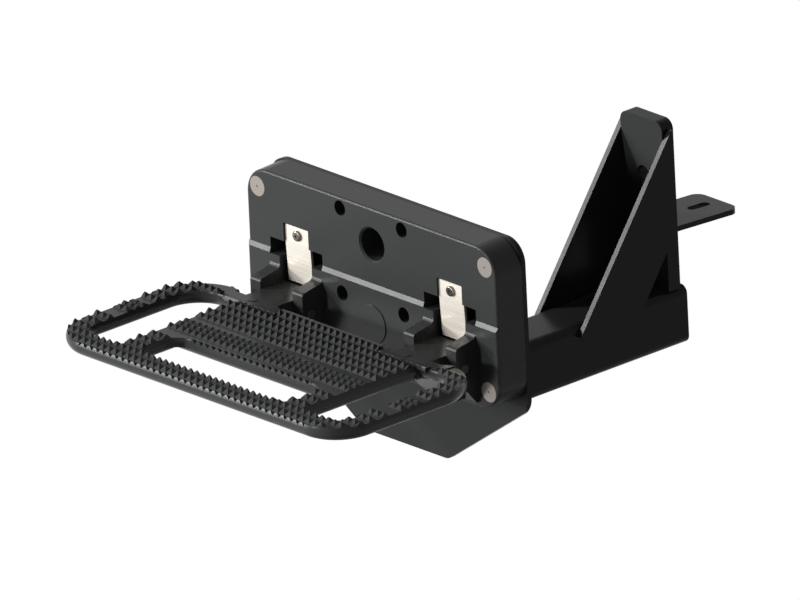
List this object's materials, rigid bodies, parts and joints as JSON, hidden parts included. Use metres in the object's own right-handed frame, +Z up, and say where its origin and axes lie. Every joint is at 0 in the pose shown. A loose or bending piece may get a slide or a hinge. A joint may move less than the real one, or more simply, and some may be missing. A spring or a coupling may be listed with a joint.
{
  "type": "ladder rack step",
  "caption": "Fold-up grip step on a hinged cast base, carried by a square support tube with an upright bolt plate, gussets and a slotted rear tab.",
  "frame": {"origin": "middle of the upright's bolt hole, on the upright's rear face", "axes": "+X to the right seen from the step side, +Y from the step toward the rear tab, +Z up"},
  "size_m": [0.3556, 0.5884, 0.2181],
  "materials": {
    "step_casting": "satin black powder coat on cast aluminium",
    "base_casting": "satin black powder coat on cast aluminium",
    "steel_black": "satin black powder coat on steel",
    "spring_steel": "brushed bright spring steel",
    "zinc_screw": "zinc plated",
    "zinc_bolt": "zinc plated, warm grey",
    "pin_steel": "black oxide on turned steel",
    "bush_bronze": "sintered bronze"
  },
  "bodies": {
    "frame": {"hinge_base": "base_casting", "face_disc": "base_casting", "mounting_plate": "steel_black", "support_tube": "steel_black", "upright_plate": "steel_black", "gusset_left": "steel_black", "gusset_right": "steel_black", "rear_tab": "steel_black", "leaf_spring_left": "spring_steel", "leaf_spring_right": "spring_steel", "spring_screw_left": "zinc_screw", "spring_screw_right": "zinc_screw", "hinge_pin_left": "pin_steel", "hinge_pin_right": "pin_steel", "corner_bolt_upper_right": "zinc_bolt", "corner_bolt_upper_left": "zinc_bolt", "corner_bolt_lower_right": "zinc_bolt", "corner_bolt_lower_left": "zinc_bolt"},
    "step": {"step_platform": "step_casting", "hinge_bush_left": "bush_bronze", "hinge_bush_right": "bush_bronze"}
  },
  "joints": [
    {"name": "step_fold", "type": "hinge", "parent": "frame", "child": "step", "pos_m": [0, -0.3282, -0.0484], "axis": [-1, 0, 0], "range_deg": [0, 82]}
  ]
}
